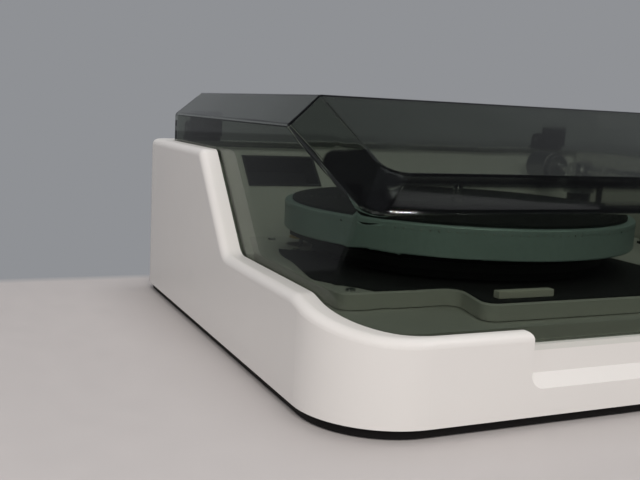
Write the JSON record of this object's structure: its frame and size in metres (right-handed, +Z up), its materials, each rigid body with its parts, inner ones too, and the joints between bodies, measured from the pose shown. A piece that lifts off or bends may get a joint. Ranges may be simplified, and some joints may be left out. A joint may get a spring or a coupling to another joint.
{
  "type": "record player",
  "caption": "Record player with a moulded plinth, a hinged faceted smoked hood, a belt-driven platter and a pick-up arm with a cueing lever.",
  "frame": {"origin": "on the table under the middle of the plinth", "axes": "+X to the right along the front, +Y to the back, +Z up; the front faces -Y"},
  "size_m": [0.43, 0.38, 0.1624],
  "materials": {
    "white_body": "satin moulded warm white",
    "white_deck": "satin moulded white",
    "smoked_acrylic": "clear smoked acrylic, polished",
    "black_plastic": "fine-grained black",
    "rubber": "matt black",
    "mat_rubber": "ribbed matt black",
    "steel": "bright steel",
    "chrome": "polished",
    "platter_metal": "turned, grey green anodised",
    "arm_metal": "satin",
    "brass": "turned",
    "motor_metal": "grey",
    "cream_plastic": "cream",
    "board": "laminate",
    "core": "varnished laminations"
  },
  "bodies": {
    "plinth": {"plinth_shell": "white_body", "deck_panel": "white_deck", "accessory_tray": "black_plastic", "base_pan": "black_plastic", "rubber_feet": "rubber", "base_screws": "steel", "hinge_base_left": "black_plastic", "hinge_base_right": "black_plastic", "hinge_pin_left": "steel", "hinge_pin_right": "steel", "unit_plate": "white_deck", "plate_inlay": "black_plastic", "plate_grommets": "rubber", "plate_screws": "steel", "bearing_housing": "brass", "thrust_ball": "steel", "motor": "motor_metal", "motor_grommets": "rubber", "motor_screws": "steel", "drive_belt": "rubber", "arm_base": "black_plastic", "arm_base_nut": "steel", "arm_rest": "black_plastic", "lift_housing": "black_plastic", "cue_bracket": "black_plastic", "transformer": "core", "circuit_board": "board", "socket_plate": "black_plastic", "phono_sockets": "brass", "mains_inlet": "black_plastic"},
    "hood": {"hood": "smoked_acrylic", "hinge_leaf_left": "black_plastic", "hinge_leaf_right": "black_plastic"},
    "platter": {"spindle_shaft": "chrome", "sub_platter": "black_plastic", "platter": "platter_metal", "platter_mat": "mat_rubber"},
    "pulley": {"motor_pulley": "brass", "motor_shaft": "steel"},
    "arm_yoke": {"arm_yoke": "arm_metal", "arm_pivot_pin": "steel"},
    "arm": {"arm_tube": "arm_metal", "headshell": "black_plastic", "finger_lift": "chrome", "cartridge": "black_plastic", "stylus": "cream_plastic"},
    "counterweight": {"counterweight": "motor_metal"},
    "rest_clip": {"rest_clip": "black_plastic"},
    "lift_bar": {"lift_bar": "black_plastic"},
    "cue_lever": {"cue_lever": "black_plastic"},
    "control_bar": {"control_bar": "cream_plastic"}
  },
  "joints": [
    {"name": "hood_hinge", "type": "hinge", "parent": "plinth", "child": "hood", "pos_m": [0, 0.168, 0.133], "axis": [-1, 0, 0], "range_deg": [0, 60]},
    {"name": "platter_spin", "type": "hinge", "parent": "plinth", "child": "platter", "pos_m": [-0.045, -0.016, 0], "axis": [0, 0, -1], "continuous": true},
    {"name": "pulley_spin", "type": "hinge", "parent": "plinth", "child": "pulley", "pos_m": [-0.132, 0.04996, 0], "axis": [0, 0, -1], "continuous": true},
    {"name": "arm_swing", "type": "hinge", "parent": "plinth", "child": "arm_yoke", "pos_m": [0.13702, 0.07196, 0.1], "axis": [0, 0, -1], "range_deg": [0, 43]},
    {"name": "arm_lift", "type": "hinge", "parent": "arm_yoke", "child": "arm", "pos_m": [0.13702, 0.07196, 0.111], "axis": [-1, 0, 0], "range_deg": [0, 1.5]},
    {"name": "counterweight_turn", "type": "hinge", "parent": "arm", "child": "counterweight", "pos_m": [0.13702, 0.11896, 0.111], "axis": [0, 1, 0], "range_deg": [-180, 180]},
    {"name": "clip_fold", "type": "hinge", "parent": "plinth", "child": "rest_clip", "pos_m": [0.14452, -0.093, 0.1175], "axis": [0, -1, 0], "range_deg": [0, 90]},
    {"name": "cue_turn", "type": "hinge", "parent": "plinth", "child": "cue_lever", "pos_m": [0.168, 0.01396, 0.066], "axis": [-1, 0, 0], "range_deg": [0, 40]},
    {"name": "lift_rise", "type": "slide", "parent": "plinth", "child": "lift_bar", "axis": [0, 0, 1], "range_m": [0, 0.0017]},
    {"name": "control_slide", "type": "slide", "parent": "plinth", "child": "control_bar", "axis": [1, 0, 0], "range_m": [0, 0.014]}
  ],
  "couplings": [
    {"joint": "pulley_spin", "follows": "platter_spin", "ratio": 14},
    {"joint": "cue_turn", "follows": "lift_rise", "rad_per_m": 410}
  ]
}
